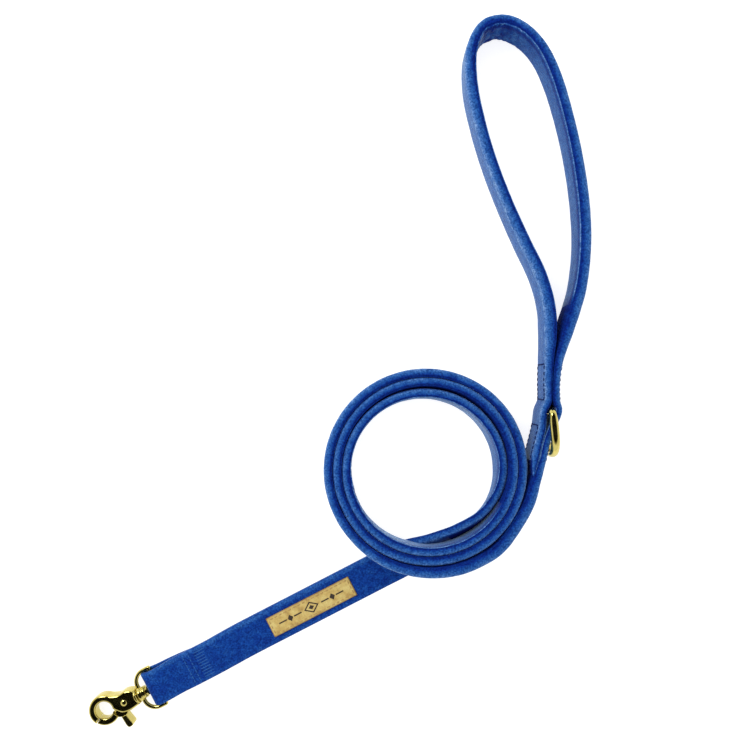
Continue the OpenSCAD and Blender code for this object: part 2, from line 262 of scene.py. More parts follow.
def thread_material(name, colour):
    """Twisted sewing thread: a slight sheen and a fine fuzz."""
    material, nodes, links, shader = new_material(name)
    coords = nodes.new("ShaderNodeTexCoord")
    fuzz = noise_node(nodes, links, coords, 4000, 2)
    tones = ramp_node(nodes, links, fuzz.outputs["Fac"], [
        (0.3, [c * 0.6 for c in colour]), (0.7, [c * 1.3 for c in colour])])
    links.new(tones.outputs["Color"], shader.inputs["Base Color"])
    shader.inputs["Roughness"].default_value = 0.8
    shader.inputs["Specular IOR Level"].default_value = 0.15
    bump_node(nodes, links, fuzz.outputs["Fac"], shader, 0.4, 0.0002)
    return material


def label_material():
    """Tan leather-like patch with a pebbled grain and darker blotches."""
    material, nodes, links, shader = new_material("label_tan")
    coords = nodes.new("ShaderNodeTexCoord")
    blotches = noise_node(nodes, links, coords, 260, 4)
    grain = nodes.new("ShaderNodeTexVoronoi")
    grain.inputs["Scale"].default_value = 1500
    links.new(coords.outputs["Object"], grain.inputs["Vector"])
    base = ramp_node(nodes, links, blotches.outputs["Fac"], [
        (0.3, (0.31, 0.19, 0.047)), (0.46, (0.45, 0.315, 0.086)), (0.7, (0.535, 0.425, 0.145))])
    pores = ramp_node(nodes, links, grain.outputs["Distance"], [
        (0.0, (0.82, 0.8, 0.76)), (0.5, (1.06, 1.05, 1.04))])
    colour = multiply_node(nodes, links, base.outputs["Color"], pores.outputs["Color"])
    # Darker towards the patch's rim
    rim = nodes.new("ShaderNodeAttribute")
    rim.attribute_name = "painted_light_and_rim"
    edges = ramp_node(nodes, links, rim.outputs["Fac"], [
        (0.15, (1, 1, 1)), (1.0, (0.42, 0.3, 0.22))])
    rim_darkened = multiply_node(nodes, links, colour.outputs["Result"], edges.outputs["Color"])
    links.new(rim_darkened.outputs["Result"], shader.inputs["Base Color"])
    shader.inputs["Roughness"].default_value = 0.6
    bump_node(nodes, links, grain.outputs["Distance"], shader, 0.35, 0.0002)
    return material


def ink_material():
    """Dark brown heat-pressed mark."""
    material, nodes, links, shader = new_material("label_mark")
    coords = nodes.new("ShaderNodeTexCoord")
    wear = noise_node(nodes, links, coords, 1800, 2)
    tones = ramp_node(nodes, links, wear.outputs["Fac"], [
        (0.3, (0.012, 0.008, 0.006)), (0.75, (0.06, 0.035, 0.02))])
    links.new(tones.outputs["Color"], shader.inputs["Base Color"])
    shader.inputs["Roughness"].default_value = 0.75
    return material


def gold_material():
    """Polished pale gold plating with faint hairlines."""
    material, nodes, links, shader = new_material("gold")
    coords = nodes.new("ShaderNodeTexCoord")
    hairlines = noise_node(nodes, links, coords, 900, 2, (1, 6, 1))
    smudges = noise_node(nodes, links, coords, 220, 3)
    tones = ramp_node(nodes, links, smudges.outputs["Fac"], [
        (0.3, (0.53, 0.435, 0.115)), (0.7, (0.63, 0.545, 0.17))])
    rough = nodes.new("ShaderNodeMapRange")
    rough.inputs["From Min"].default_value = 0.3
    rough.inputs["From Max"].default_value = 0.7
    rough.inputs["To Min"].default_value = 0.07
    rough.inputs["To Max"].default_value = 0.16
    links.new(smudges.outputs["Fac"], rough.inputs["Value"])
    links.new(tones.outputs["Color"], shader.inputs["Base Color"])
    links.new(rough.outputs["Result"], shader.inputs["Roughness"])
    shader.inputs["Metallic"].default_value = 1
    bump_node(nodes, links, hairlines.outputs["Fac"], shader, 0.04, 0.0001)
    return material


def steel_material():
    """Bright spring steel."""
    material, nodes, links, shader = new_material("spring_steel")
    coords = nodes.new("ShaderNodeTexCoord")
    drawn = noise_node(nodes, links, coords, 1200, 2, (1, 1, 8))
    tones = ramp_node(nodes, links, drawn.outputs["Fac"], [
        (0.3, (0.45, 0.45, 0.46)), (0.7, (0.7, 0.7, 0.72))])
    links.new(tones.outputs["Color"], shader.inputs["Base Color"])
    shader.inputs["Roughness"].default_value = 0.25
    shader.inputs["Metallic"].default_value = 1
    return material


VELVET = velvet_material("velvet", 0.8)
# The same velvet without sheen, for faces painted dark as crevice shade
CREVICE_SHADE_VELVET = velvet_material("crevice_shade_velvet", 0)
BLUE_THREAD = thread_material("blue_thread", (0.0015, 0.01, 0.075))
PALE_THREAD = thread_material("pale_blue_thread", (0.022, 0.1, 0.32))
TAN_THREAD = thread_material("tan_thread", (0.42, 0.27, 0.1))
LABEL_TAN = label_material()
MARK = ink_material()
GOLD = gold_material()
STEEL = steel_material()


# --- meshes ---

def add_mesh(name, points, faces, material, body):
    """A smooth-shaded piece from points in millimetres, riding on a body."""
    mesh = bpy.data.meshes.new(name)
    mesh.from_pydata([p * MM for p in points], [], faces)
    mesh.validate()
    mesh.shade_smooth()
    piece = bpy.data.objects.new(name, mesh)
    bpy.context.collection.objects.link(piece)
    mesh.materials.append(material)
    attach(piece, body)
    return piece


def split_edges(piece, degrees):
    """Keeps edges sharper than an angle crisp in a smooth-shaded mesh."""
    piece.data.set_sharp_from_angle(angle=math.radians(degrees))


def catmull(a, b, c, d, t):
    """Point between b and c on a Catmull-Rom curve."""
    return 0.5 * (2 * b + (c - a) * t + (2 * a - 5 * b + 4 * c - d) * t * t
                  + (3 * b - a - 3 * c + d) * t * t * t)


def along(values, s):
    """Value of a list at a running index, which may lie between two."""
    i = min(int(s), len(values) - 2)
    b, c = values[i], values[i + 1]
    a = values[i - 1] if i > 0 else 2 * b - c
    d = values[i + 2] if i + 2 < len(values) else 2 * c - b
    return catmull(a, b, c, d, s - i)


def smoothstep(t):
    """Goes from 0 at 0 to 1 at 1 with a level start and end."""
    t = min(1, max(0, t))
    return t * t * (3 - 2 * t)


def window(x, start, rise, end, fall):
    """Goes smoothly from 0 at start to 1, and back to 0 at end, over the lengths rise and fall."""
    return smoothstep((x - start) / rise) * smoothstep((end - x) / fall)


def bump_at(x, place, spread):
    """A smooth bump of height 1 at a place."""
    return math.exp(-((x - place) / spread) ** 2)


class Route:
    """Strap as stations of middle, direction of the width, thickness and width."""

    def __init__(self):
        """Starts without stations."""
        self.middles = []
        self.widths = []
        self.sizes = []

    def add(self, middle, width, thickness, breadth):
        """Adds a station at the end."""
        self.middles.append(Vector(middle))
        self.widths.append(Vector(width))
        self.sizes.append(Vector((thickness, breadth)))

    def part(self, first, last):
        """The stations from one index to another, both kept."""
        route = Route()
        for k in range(first, last + 1):
            route.add(self.middles[k], self.widths[k], *self.sizes[k])
        return route

    def frame(self, s):
        """(middle, width direction, face direction, thickness, width) at a running index."""
        last = len(self.middles) - 1
        ahead = along(self.middles, min(s + 0.02, last)) - along(self.middles, max(s - 0.02, 0))
        ahead.normalize()
        width = along(self.widths, s)
        width = (width - width.dot(ahead) * ahead).normalized()
        thickness, breadth = along(self.sizes, s)
        return along(self.middles, s), width, width.cross(ahead), thickness, breadth


def approach(turn):
    """How far the strap is still outside the coil's spiral where it comes in."""
    return APPROACH * max(0, 1 - turn / APPROACH_TURNS)


def coil_point(turn, height):
    """A point of the coil's middle line, and up in the tilted coil."""
    radius = COIL_R - COIL_PITCH * turn + 0.65 * approach(turn)
    radius += 0.5 * math.cos(4 * math.pi * turn)
    radius -= 1.4 * window(turn, 2.45, 0.4, 3.08, 0.2)
    angle = -2 * math.pi * turn - COIL_LIFT_HEADING
    turned = Matrix.Rotation(COIL_LIFT_HEADING, 3, "Z") @ Matrix.Rotation(-COIL_TILT, 3, "Y")
    flat = Vector((radius * math.cos(angle), radius * math.sin(angle), height))
    return COIL_MID + turned @ flat, turned @ UP


def strap_route():
    """The whole strap from the hand loop's sewn end to the snap, and where the coil is joined."""
    route = Route()
    for x, y, lift, thickness in HANDLE_ROUTE:
        route.add((x, y, lift + STRAP_W / 2), UP, thickness, STRAP_W)
    join = None
    for k in range(round(COIL_START * POINTS_PER_TURN), round(COIL_END * POINTS_PER_TURN) + 1):
        turn = k / POINTS_PER_TURN
        middle, up = coil_point(turn, STRAP_W / 2)
        in_coil = smoothstep((turn - 0.08) / 0.12)
        settle = smoothstep((turn - 2.7) / 0.42) * coil_point(turn, 0)[0].z
        level = Vector((middle.x, middle.y, 3.2 + STRAP_W / 2))
        middle = level.lerp(middle, in_coil) - Vector((0, 0, settle))
        inward = COIL_MID - middle
        inward.z = 0
        lean = math.tan(math.radians(15)) * smoothstep((turn - 2.98) / 0.18)
        thickness = STRAP_T + 0.7 * approach(turn)
        route.add(middle, UP.lerp(up, in_coil) + lean * inward.normalized(), thickness, STRAP_W)
        if turn <= JOIN_TURN:
            join = len(route.middles) - 1
    for run, side, lift, lean, thickness, breadth in TAIL_ROUTE:
        lean = math.radians(lean)
        half = breadth / 2 * math.cos(lean) + thickness / 2 * math.sin(lean)
        middle = TAIL_ORIGIN + run * TAIL_DIR + side * TAIL_SIDE + Vector((0, 0, lift + half))
        width = math.sin(lean) * TAIL_SIDE + Vector((0, 0, math.cos(lean)))
        route.add(middle, width, thickness, breadth)
    return route, join


def fold_route():
    """Strap's end from the top of the eye's bar, round it and back under the tail."""
    route = Route()
    radius = 2.5
    reach = 3.8
    side = -0.1
    steps = 6
    start = in_snap(BAR_X - 1.5, 0, radius) + side * TAIL_SIDE
    route.add(start, TAIL_SIDE, FOLD_T - 0.3, FOLD_W - 0.3)
    for k in range(steps + 1):
        angle = math.pi * (0.5 - k / steps)
        middle = in_snap(BAR_X + reach * math.cos(angle), 0, radius * math.sin(angle))
        route.add(middle + (side + k / steps) * TAIL_SIDE, TAIL_SIDE, FOLD_T, FOLD_W)
    for run, side in ((4, 0.9), (10, 0.8), (18, 0.4), (26, -0.3), (FOLD_L, -0.8)):
        middle = in_snap(BAR_X - run, 0, -radius) + side * TAIL_SIDE
        route.add(middle, TAIL_SIDE, FOLD_T, FOLD_W - 0.6)
    return route


def turn_at(s):
    """Turn of the coil at a running index of the whole strap."""
    return COIL_START + (s - COIL_FIRST) / POINTS_PER_TURN


def strap_swell(s):
    """How much the strap's faces swell, inner and outer, at a running index of the whole strap.

    The coil's turns press together, and the neck's two layers close above the ring.
    """
    turn = turn_at(s)
    inner = REST_SWELL + 0.16 * window(turn, -0.05, 0.15, 2.15, 0.2)
    inner += 0.2 * window(turn, 1.45, 0.3, 2.15, 0.2)
    outer = REST_SWELL + 0.16 * window(turn, 1.02, 0.12, 3.24, 0.12)
    outer += 0.2 * window(turn, 2.45, 0.3, 3.24, 0.12)
    inner += 0.24 * window(s, 4.1, 0.5, 9.2, 1.2)
    inner += 0.24 * window(s, 25.9, 1.2, 30.8, 0.5)
    inner += 0.25 * (bump_at(s, 3.9, 0.3) + bump_at(s, 35.3, 0.7))
    outer += 0.3 * max(0, 1 - s / 1.5)
    return inner, outer


def loop_pucker(s):
    """Puckers of the inner ply at the top of the hand loop."""
    return max(0, 1 - abs(s - 17.4) / 2.8)


def coil_pucker(s):
    """Small puckers on the inner side of the coil's last turn."""
    return 0.6 * max(0, 1 - abs(turn_at(s) - 2.46) / 0.07)


# Swell of a face that nothing presses on, and the most that is spread evenly over a face
REST_SWELL = 0.07
SWELL_EVEN = 0.23

# Faces painted darker than this sit in crevice shade and take the velvet without sheen
CREVICE_SHADE_LIMIT = 0.06

# Over the strap's first edge, from its inner side at -1 to its outer one at 1: painted light, with
# painted shade in and beside the seam's groove, a painted highlight on the inner lip and a painted sheen
# growing towards the rounded outer side; and where the outline has its points, close together in the
# seam's groove
EDGE_SHADES = [(-1, 0.4), (-0.93, 0.95), (-0.83, 0.55), (-0.71, 0.0), (-0.48, 0.04), (-0.2, 0.3),
               (0.15, 0.42), (0.5, 0.56), (0.78, 0.74), (1, 0.85)]
EDGE_PLACES = [-1, -0.98, -0.93, -0.87, -0.81, -0.76, -0.72, -0.68, -0.62, -0.54, -0.42, -0.28,
               -0.12, 0.05, 0.22, 0.38, 0.54, 0.68, 0.8, 0.91, 0.98, 1]
GROOVE_PLACE = -0.72
FACE_STEPS = 12


def edge_shade(x):
    """Painted light across the edge, between the listed places."""
    for (x0, v0), (x1, v1) in zip(EDGE_SHADES, EDGE_SHADES[1:]):
        if x <= x1:
            return v0 + (v1 - v0) * (x - x0) / (x1 - x0)
    return EDGE_SHADES[-1][1]


def bulge(swell, t):
    """Swell of a face at a place from its first edge to the other: a large one sits low."""
    return (1 + min(swell, SWELL_EVEN) * math.sin(math.pi * t) ** 0.5
            + max(0, swell - SWELL_EVEN) * math.sin(math.pi * t * t) ** 0.7)


def section(thickness, breadth, swell_in, swell_out, upright):
    """Outline of the velvet strap as (width, face, shade): a seam groove on the first edge.

    The faces swell, and where they do so they press on a neighbour and get painted shade, as in a
    crevice. The painted light is darker where the strap is flat than where it stands on edge, as a
    painted sheen on upright faces.
    """
    tight_in = min(1, max(0, (swell_in - 0.1) / 0.1))
    tight_out = min(1, max(0, (swell_out - 0.1) / 0.1))
    a = breadth / 2
    b = thickness / 2
    depth = 0.5 * min(1, max(0, (thickness - 2.6) / 1.2))
    points = []
    for x in EDGE_PLACES:
        round_r = 0.75 * b if x > 0 else 0.55 * b
        power = 2.2 if x > 0 else 2.8
        fall = round_r * (1 - (1 - abs(x) ** power) ** (1 / power))
        groove = depth * bump_at(x, GROOVE_PLACE, 0.09)
        # Painted light across the edge, with less painted highlight and shade where the strap lies flat
        shade = 0.3 + (edge_shade(x) - 0.3) * (0.25 + 0.75 * upright)
        # Painted shade where the edge meets a pressing neighbour
        if x > 0.7:
            shade -= tight_out * 0.8 * (x - 0.7) / 0.3
        if x < -0.76:
            shade *= 1 - tight_in
        points.append((a - fall - groove, x * b, shade))
    for k in range(1, FACE_STEPS):
        t = k / FACE_STEPS
        # Painted sheen: upright faces lighter, most towards the first edge; painted shade where the face
        # presses on a neighbour
        shade = 0.2 + upright * (0.2 + 0.18 * (1 - t) ** 3)
        points.append(((a - 0.75 * b) * (1 - t) - (a - 0.7 * b) * t, b * bulge(swell_out, t),
                       shade * (1 - tight_out)))
    for k in range(FACE_STEPS + 1):
        angle = math.pi * k / FACE_STEPS
        x = math.copysign(abs(math.cos(angle)) ** (2 / 3), math.cos(angle))
        y = abs(math.sin(angle)) ** (2 / 3)
        points.append((-(a - 0.7 * b) - 0.7 * b * y, x * b, 0.3))
    for k in range(1, FACE_STEPS):
        t = k / FACE_STEPS
        # Painted shade in a line along the inner face next to the first edge
        seam = 0.9 * smoothstep((t - 0.78) / 0.1)
        points.append((-(a - 0.7 * b) * (1 - t) + (a - 0.55 * b) * t, -b * bulge(swell_in, 1 - t),
                       0.5 * (1 - tight_in) * (1 - seam)))
    return points


def folds_at(middle, w):
    """Wave of the puckers, from -1 in a fold to 1 on a ridge."""
    return math.sin(noise.noise(Vector((middle.x, middle.y, 0.35 * w)) / 5.5) * 8 + w * 0.2)


def ruffle(middle, w, n, pucker):
    """Unevenness at a surface point of the strap: soft dents, and folds where it puckers."""
    dents = noise.noise(Vector((middle.x, middle.y, w)) / 7) * 0.16
    if pucker <= 0:
        return dents
    return dents + (0.9 if n < 0 else 0.15) * pucker * folds_at(middle, w)


def sweep(name, route, step, pucker=None, swell=None):
    """Velvet strap swept along a route, closed at both ends, and its ring centres in metres.

    pucker and swell are functions of the running index along the route.
    """
    last = len(route.middles) - 1
    places = [0.0]
    for k in range(last):
        gap = (route.middles[k + 1] - route.middles[k]).length
        count = max(2, round(gap / step))
        places += [k + (j + 1) / count for j in range(count)]
    points = []
    shades = []
    centres = []
    for s in places:
        middle, width, face, thickness, breadth = route.frame(s)
        amount = pucker(s) if pucker else 0
        swell_in, swell_out = swell(s) if swell else (REST_SWELL, REST_SWELL)
        outline = section(thickness, breadth, swell_in, swell_out, abs(width.z))
        ring = []
        for w, n, shade in outline:
            point = middle + w * width + n * face
            share = 1 if abs(n) > 0.7 * thickness / 2 else 0.3
            outward = face if n > 0 else -face
            point += share * abs(ruffle(middle, w, n, amount)) * outward
            ring.append(point)
            # Painted shade in the puckers, deepest in their folds
            if n < 0 and amount > 0:
                shade += amount * (0.36 * folds_at(middle, w) - 0.32)
            shades.append(shade)
        points += ring
        centres.append(middle * MM)
    size = len(ring)
    faces = [
        (k * size + j, k * size + (j + 1) % size, (k + 1) * size + (j + 1) % size, (k + 1) * size + j)
        for k in range(len(places) - 1) for j in range(size)
    ]
    faces.append(tuple(range(size - 1, -1, -1)))
    faces.append(tuple(range(len(points) - size, len(points))))
    piece = add_mesh(name, points, faces, VELVET, "lead")
    # The painted light rides on the mesh as a vertex attribute; faces in deep painted shade take the
    # velvet without sheen
    painted_light_and_rim = piece.data.attributes.new("painted_light_and_rim", "FLOAT", "POINT")
    painted_light_and_rim.data.foreach_set("value", shades)
    piece.data.materials.append(CREVICE_SHADE_VELVET)
    for polygon in piece.data.polygons:
        if max(shades[k] for k in polygon.vertices) < CREVICE_SHADE_LIMIT:
            polygon.material_index = 1
    split_edges(piece, 75)
    return piece, centres


# --- snap's own frame ---

def in_snap(x, y, z):
    """A point of the snap, X along the tail, in the row frame."""
    return SNAP_ORIGIN + x * TAIL_DIR - y * TAIL_SIDE + Vector((0, 0, SNAP_Z + z))


def arc(centre, radius, start, end, count):
    """Points on an arc, angles in degrees."""
    return [centre + radius * Vector((math.cos(math.radians(a)), math.sin(math.radians(a))))
            for a in [start + (end - start) * k / count for k in range(count + 1)]]


def smooth_line(points, count=5):
    """A Catmull-Rom curve through 2-D points."""
    line = [Vector(p) for p in points]
    out = [along(line, k + j / count) for k in range(len(line) - 1) for j in range(count)]
    return out + [line[-1]]


def plate(name, outlines, thickness, rounding):
    """A flat mesh in the snap's frame with rounded rims, from closed 2-D outlines."""
    curve = bpy.data.curves.new(name, "CURVE")
    curve.dimensions = "2D"
    curve.fill_mode = "BOTH"
    curve.extrude = (thickness / 2 - rounding) * MM
    curve.bevel_depth = rounding * MM
    curve.bevel_resolution = 5
    curve.offset = -rounding * MM
    for outline in outlines:
        spline = curve.splines.new("POLY")
        spline.points.add(len(outline) - 1)
        for point, place in zip(spline.points, outline):
            point.co = (place.x * MM, place.y * MM, 0, 1)
        spline.use_cyclic_u = True
    shape = bpy.data.objects.new(name + "_curve", curve)
    bpy.context.collection.objects.link(shape)
    bpy.context.view_layer.update()
    evaluated = shape.evaluated_get(bpy.context.evaluated_depsgraph_get())
    mesh = bpy.data.meshes.new_from_object(evaluated)
    bpy.data.objects.remove(shape)
    mesh.materials.clear()
    mesh.materials.append(GOLD)
    return mesh


def join_meshes(name, meshes, body):
    """One piece from several snap meshes, placed in the row frame and riding on a body."""
    points = []
    faces = []
    for mesh in meshes:
        base = len(points)
        points += [in_snap(v.co.x / MM, v.co.y / MM, v.co.z / MM) for v in mesh.vertices]
        faces += [tuple(base + i for i in p.vertices) for p in mesh.polygons]
    return add_mesh(name, points, faces, GOLD, body)


def lathe(name, profile, sides, body):
    """A closed turned piece about the snap's X axis from (x, radius) points."""
    points = []
    for x, radius in profile:
        for k in range(sides):
            angle = 2 * math.pi * k / sides
            points.append(in_snap(x, radius * math.cos(angle), radius * math.sin(angle)))
    faces = [
        (k * sides + j, (k + 1) * sides + j,
         (k + 1) * sides + (j + 1) % sides, k * sides + (j + 1) % sides)
        for k in range(len(profile) - 1) for j in range(sides)
    ]
    faces.append(tuple(range(sides)))
    faces.append(tuple(range(len(points) - 1, len(points) - sides - 1, -1)))
    return add_mesh(name, points, faces, GOLD, body)


def cut(piece, name, outline, thickness):
    """Takes a flat pocket out of a piece."""
    sides = len(outline)
    points = [in_snap(p[0], p[1], z) for z in (-thickness / 2, thickness / 2) for p in outline]
    faces = [(j, (j + 1) % sides, sides + (j + 1) % sides, sides + j) for j in range(sides)]
    faces += [tuple(range(sides - 1, -1, -1)), tuple(range(sides, 2 * sides))]
    mesh = bpy.data.meshes.new(name)
    mesh.from_pydata([p * MM for p in points], [], faces)
    tool = bpy.data.objects.new(name, mesh)
    bpy.context.collection.objects.link(tool)
    boolean = piece.modifiers.new(name, "BOOLEAN")
    boolean.operation = "DIFFERENCE"
    boolean.solver = "EXACT"
    boolean.object = tool
    bpy.context.view_layer.update()
    evaluated = piece.evaluated_get(bpy.context.evaluated_depsgraph_get())
    result = bpy.data.meshes.new_from_object(evaluated)
    piece.modifiers.clear()
    piece.data = result
    bpy.data.objects.remove(tool)


def snap_hook():
    """Fixed part of the trigger snap: cheeks, neck and the open ring."""
    back = smooth_line([(8.6, -4), (10.4, -5.3), (13.3, -6.1), (16.5, -5.8), (19.4, -6.6), (21.5, -7.7)])
    outline = back + arc(HOOK_RING_MID, HOOK_RING_R, -130, 33, 40)
    outline += arc(HOOK_RING_MID, HOOK_EYE_R, 33, -197, 48)
    outline += smooth_line([(21.9, 1), (20.2, 2.9), (18, 4.3), (14.4, 4.8), (11, 4.4), (8.6, 4)])
    piece = join_meshes("snap_hook", [plate("hook", [outline], HOOK_T, 1.3)], "hook")
    cut(piece, "pocket", [(11.2, -3), (14, -4.4), (19, -4), (22.2, -1.6), (24.6, 9), (12.4, 9),
                          (12.4, 3), (11.2, 2.4)], SLOT_T)
    split_edges(piece, 40)
    return piece


def snap_lever():
    """Gate, tongue and thumb tab of the trigger snap."""
    gate = arc(HOOK_RING_MID, HOOK_RING_R, 34.8, 128, 24) + arc(HOOK_RING_MID, HOOK_EYE_R, 138, 34.8, 24)
    tongue = [(14.3, 2), (17.5, -3.2), (22.1, 1.6), (23.5, 2.6), (24.2, 5), (20.3, 6.6), (18.1, 6.6)]
    hub = arc(PIVOT, 3, 0, 345, 23)
    tab = smooth_line([(17.8, 5.8), (17.2, 9), (16.6, 11.4), (16.9, 12.4), (18.4, 12.8), (19.6, 12.4),
                       (20.2, 11), (20.4, 8.8), (20.6, 5.8)], 4)
    meshes = [
        plate("gate", [gate], GATE_T, 0.9),
        plate("tongue", [[Vector(p) for p in tongue]], SLOT_T - 0.2, 0.3),
        plate("hub", [hub], SLOT_T - 0.2, 0.2),
        plate("tab", [tab], TAB_T, 0.5),
    ]
    piece = join_meshes("snap_lever", meshes, "lever")
    split_edges(piece, 40)
    return piece


def handle_ring():
    """Cast D-ring: a round bar in the neck, and flattened arms with a bow."""
    corner = 2.2
    line = [(0, -RING_HALF + corner + k * (RING_HALF - corner) / 4) for k in range(8)]
    line += [tuple(p) for p in arc(Vector((corner, RING_HALF - corner)), corner, 180, 90, 6)]
    line += [(corner + k * (RING_ARM - corner) / 4, RING_HALF) for k in range(1, 4)]
    line += [tuple(p) for p in arc(Vector((RING_ARM, 0)), RING_HALF, 90, -90, 36)]
    line += [(RING_ARM - k * (RING_ARM - corner) / 4, -RING_HALF) for k in range(1, 4)]
    line += [tuple(p) for p in arc(Vector((corner, corner - RING_HALF)), corner, 270, 180, 6)][:-1]
    ahead = Vector((math.cos(RING_HEADING), math.sin(RING_HEADING), 0))
    across = Vector((-ahead.y, ahead.x, 0))
    count = len(line)
    sides = 20
    points = []
    for k in range(count):
        before, here, after = line[k - 1], line[k], line[(k + 1) % count]
        tangent = ((after[0] - before[0]) * ahead + (after[1] - before[1]) * UP).normalized()
        outward = tangent.cross(across)
        wide = RING_WIRE_R + 0.45 * smoothstep((here[0] - 1) / 4)
        centre = RING_BAR + here[0] * ahead + here[1] * UP
        for j in range(sides):
            angle = 2 * math.pi * j / sides
            points.append(centre + wide * math.cos(angle) * across
                          + RING_WIRE_R * math.sin(angle) * outward)
    faces = [
        (k * sides + j, k * sides + (j + 1) % sides, (k + 1) % count * sides + (j + 1) % sides,
         (k + 1) % count * sides + j)
        for k in range(count) for j in range(sides)
    ]
    piece = add_mesh("handle_d_ring", points, faces, GOLD, "handle_ring")
    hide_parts("d_ring")


# --- stitches ---

def stitch(points, faces, middle, ahead, out, length, radius):
    """One thread stitch that arches out of the cloth and dives back in at both ends."""
    side = ahead.cross(out)
    base = len(points)
    rings = 9
    sides = 8
    for k in range(rings):
        t = k / (rings - 1) * 2 - 1
        centre = middle + ahead * (length / 2 * t) + out * (radius * (0.55 - 1.6 * t ** 4))
        r = radius * (1 - 0.45 * t ** 4)
        for j in range(sides):
            angle = 2 * math.pi * j / sides
            points.append(centre + r * math.cos(angle) * side + r * math.sin(angle) * out)
    for k in range(rings - 1):
        for j in range(sides):
            m = (j + 1) % sides
            p = base + k * sides
            faces.append((p + j, p + m, p + sides + m, p + sides + j))
    faces.append(tuple(base + j for j in range(sides - 1, -1, -1)))
    faces.append(tuple(base + (rings - 1) * sides + j for j in range(sides)))


def stitch_row(points, faces, station, count, edge, lift, length, radius, ahead=None):
    """Stitches side by side across the strap, lying along the row or along a direction."""
    middle, width, face, thickness, _ = station
    for k in range(count):
        place = middle + edge * (2 * (k + 0.5) / count - 1) * width + (thickness / 2 + lift) * face
        stitch(points, faces, place, ahead or width, face, length, radius)


def box_stitches(name, route, boxes, node):
    """Sewn rectangles on the strap's outer face; a box is (from, to, stitches along it)."""
    points = []
    faces = []
    edge = STRAP_W / 2 - 2.4
    length = 2.3
    radius = 0.34
    for start, end, count in boxes:
        for k in range(count):
            middle, width, face, thickness, _ = route.frame(start + (end - start) * (k + 0.5) / count)
            for side in (-1, 1):
                place = middle + side * edge * width + (thickness / 2 + 0.06) * face
                stitch(points, faces, place, face.cross(width), face, length, radius)
        for s in (start, end):
            stitch_row(points, faces, route.frame(s), 6, edge, 0.12, length, radius)
    piece = add_mesh(name, points, faces, BLUE_THREAD, "lead")
    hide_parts(node)


def tail_stitches(route):
    """Sewn lines across the tail and short rungs beside them, where the fold is closed."""
    points = []
    faces = []
    first = len(route.middles) - len(TAIL_ROUTE)
    edge = FOLD_W / 2 - 1.6
    for s in (10.74, 11):
        stitch_row(points, faces, route.frame(first + s), 7, edge, 0.1, 1.9, 0.26)
    stitch_row(points, faces, route.frame(first + 10.32), 10, edge, 0.06, 7, 0.22, TAIL_DIR)
    piece = add_mesh("tail_stitches", points, faces, PALE_THREAD, "lead")
    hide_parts("tail_stitch")


# --- label ---

def label_patch():
    """Tan patch with soft rims, pressed in along its stitch line."""
    columns = 60
    rows = 16
    points = []
    rims = []
    for j in range(rows + 1):
        for i in range(columns + 1):
            x = LABEL_L * (i / columns - 0.5)
            y = LABEL_W * (j / rows - 0.5)
            edge = min(LABEL_L / 2 - abs(x), LABEL_W / 2 - abs(y))
            rim = 0.3 * (1 - min(1, edge / 0.5)) ** 2
            groove = 0.14 * bump_at(edge, LABEL_INSET, 0.35)
            grain = 0.04 * noise.noise(Vector((x, y, 0)) * 0.9)
            points.append(in_snap(LABEL_X + x, LABEL_Y + y, LABEL_TOP - rim - groove + grain))
            rims.append(max(0, 1 - edge / 0.9))
    size = columns + 1
    faces = [(j * size + i, j * size + i + 1, (j + 1) * size + i + 1, (j + 1) * size + i)
             for j in range(rows) for i in range(columns)]
    border = list(range(size)) + [j * size + columns for j in range(1, rows + 1)]
    border += [rows * size + i for i in range(columns - 1, -1, -1)]
    border += [j * size for j in range(rows - 1, 0, -1)]
    base = len(points)
    for k in border:
        points.append(Vector((points[k].x, points[k].y, STRAP_T - 0.3)))
        rims.append(1)
    count = len(border)
    faces += [(border[k], base + k, base + (k + 1) % count, border[(k + 1) % count])
              for k in range(count)]
    faces.append(tuple(range(base + count - 1, base - 1, -1)))
    piece = add_mesh("label_patch", points, faces, LABEL_TAN, "lead")
    piece.data.attributes.new("painted_light_and_rim", "FLOAT", "POINT").data.foreach_set("value", rims)
    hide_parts("label")


def label_stitches():
    """Tan stitches round the label."""
    points = []
    faces = []
    run_x = LABEL_L / 2 - LABEL_INSET
    run_y = LABEL_W / 2 - LABEL_INSET
    top = LABEL_TOP - 0.12
    length = 2.2
    radius = 0.27
    long_count = 17
    short_count = 3
    for k in range(long_count):
        x = run_x * (2 * (k + 0.5) / long_count - 1)
        for side in (-1, 1):
            place = in_snap(LABEL_X + x, LABEL_Y + side * run_y, top)
            stitch(points, faces, place, TAIL_DIR, UP, length, radius)
    for k in range(short_count):
        y = run_y * (2 * (k + 0.5) / short_count - 1)
        for side in (-1, 1):
            place = in_snap(LABEL_X + side * run_x, LABEL_Y + y, top)
            stitch(points, faces, place, -TAIL_SIDE, UP, length, radius)
    piece = add_mesh("label_stitches", points, faces, TAN_THREAD, "lead")
    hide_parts("label_stitching")


